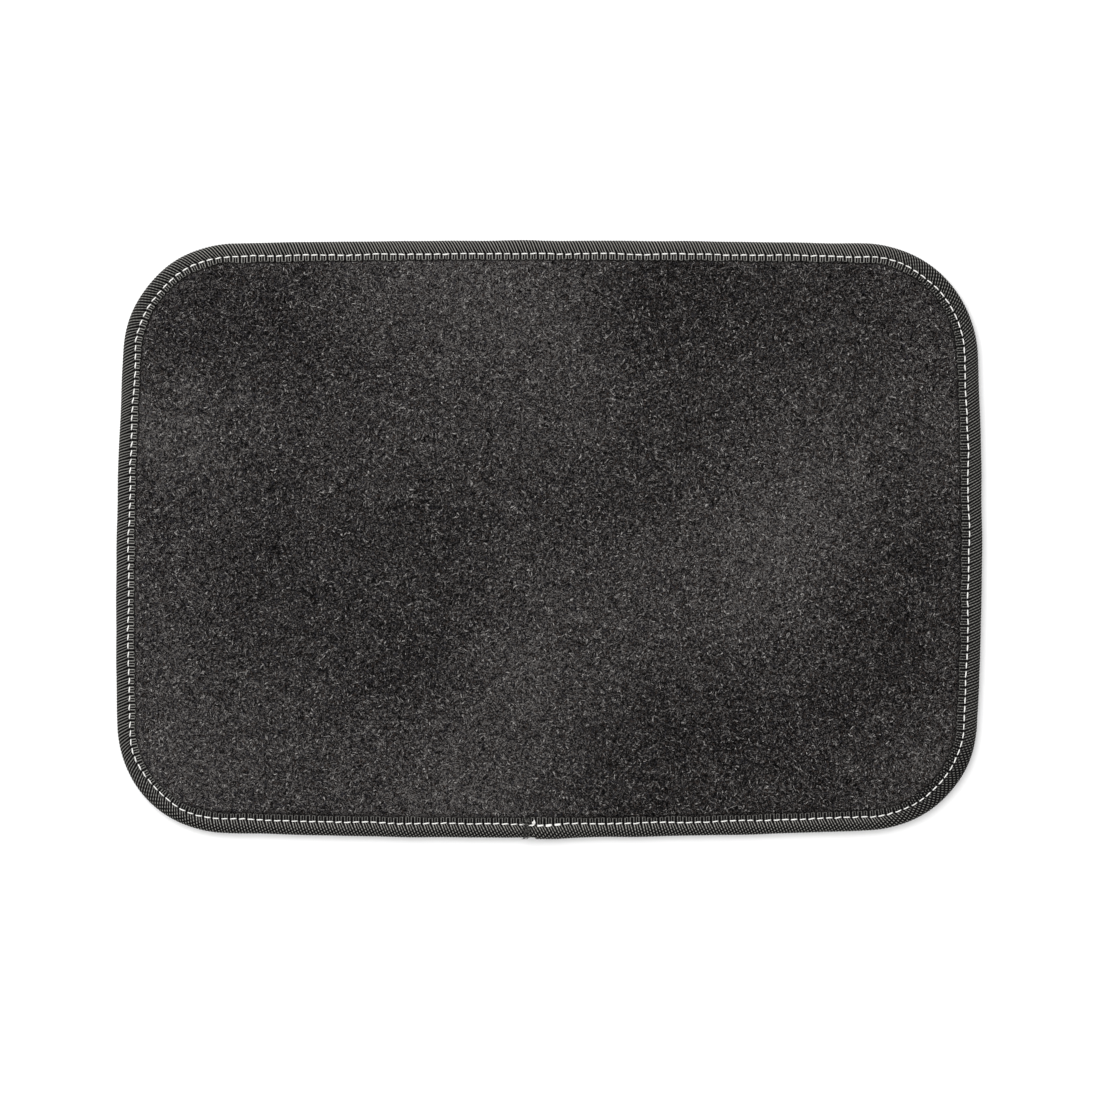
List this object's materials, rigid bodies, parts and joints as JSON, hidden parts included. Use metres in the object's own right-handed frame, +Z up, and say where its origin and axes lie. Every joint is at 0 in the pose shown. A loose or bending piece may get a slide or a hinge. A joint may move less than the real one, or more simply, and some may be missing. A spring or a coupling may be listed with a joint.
{
  "type": "desk mat",
  "caption": "Rectangular charcoal felt desk mat with rounded corners, a folded woven binding stitched round its edge and a grip backing.",
  "frame": {"origin": "centre of the mat's footprint, on the desk", "axes": "+X along the mat's length, +Y towards its back edge, away from the lap in the binding, +Z up from the desk"},
  "size_m": [0.405, 0.28, 0.0064],
  "materials": {
    "felt": "heathered charcoal needle felt",
    "bond": "thin hot-melt film",
    "backing": "matt foamed rubber with small grip nibs",
    "binding": "black woven tape with cross ribs",
    "thread": "twisted white polyester thread",
    "bobbin": "twisted white polyester thread"
  },
  "bodies": {
    "root": {"felt_face": "felt", "bond_film": "bond", "grip_backing": "backing", "edge_binding": "binding", "needle_thread": "thread", "bobbin_thread": "bobbin", "thread_tail": "thread"}
  },
  "joints": []
}
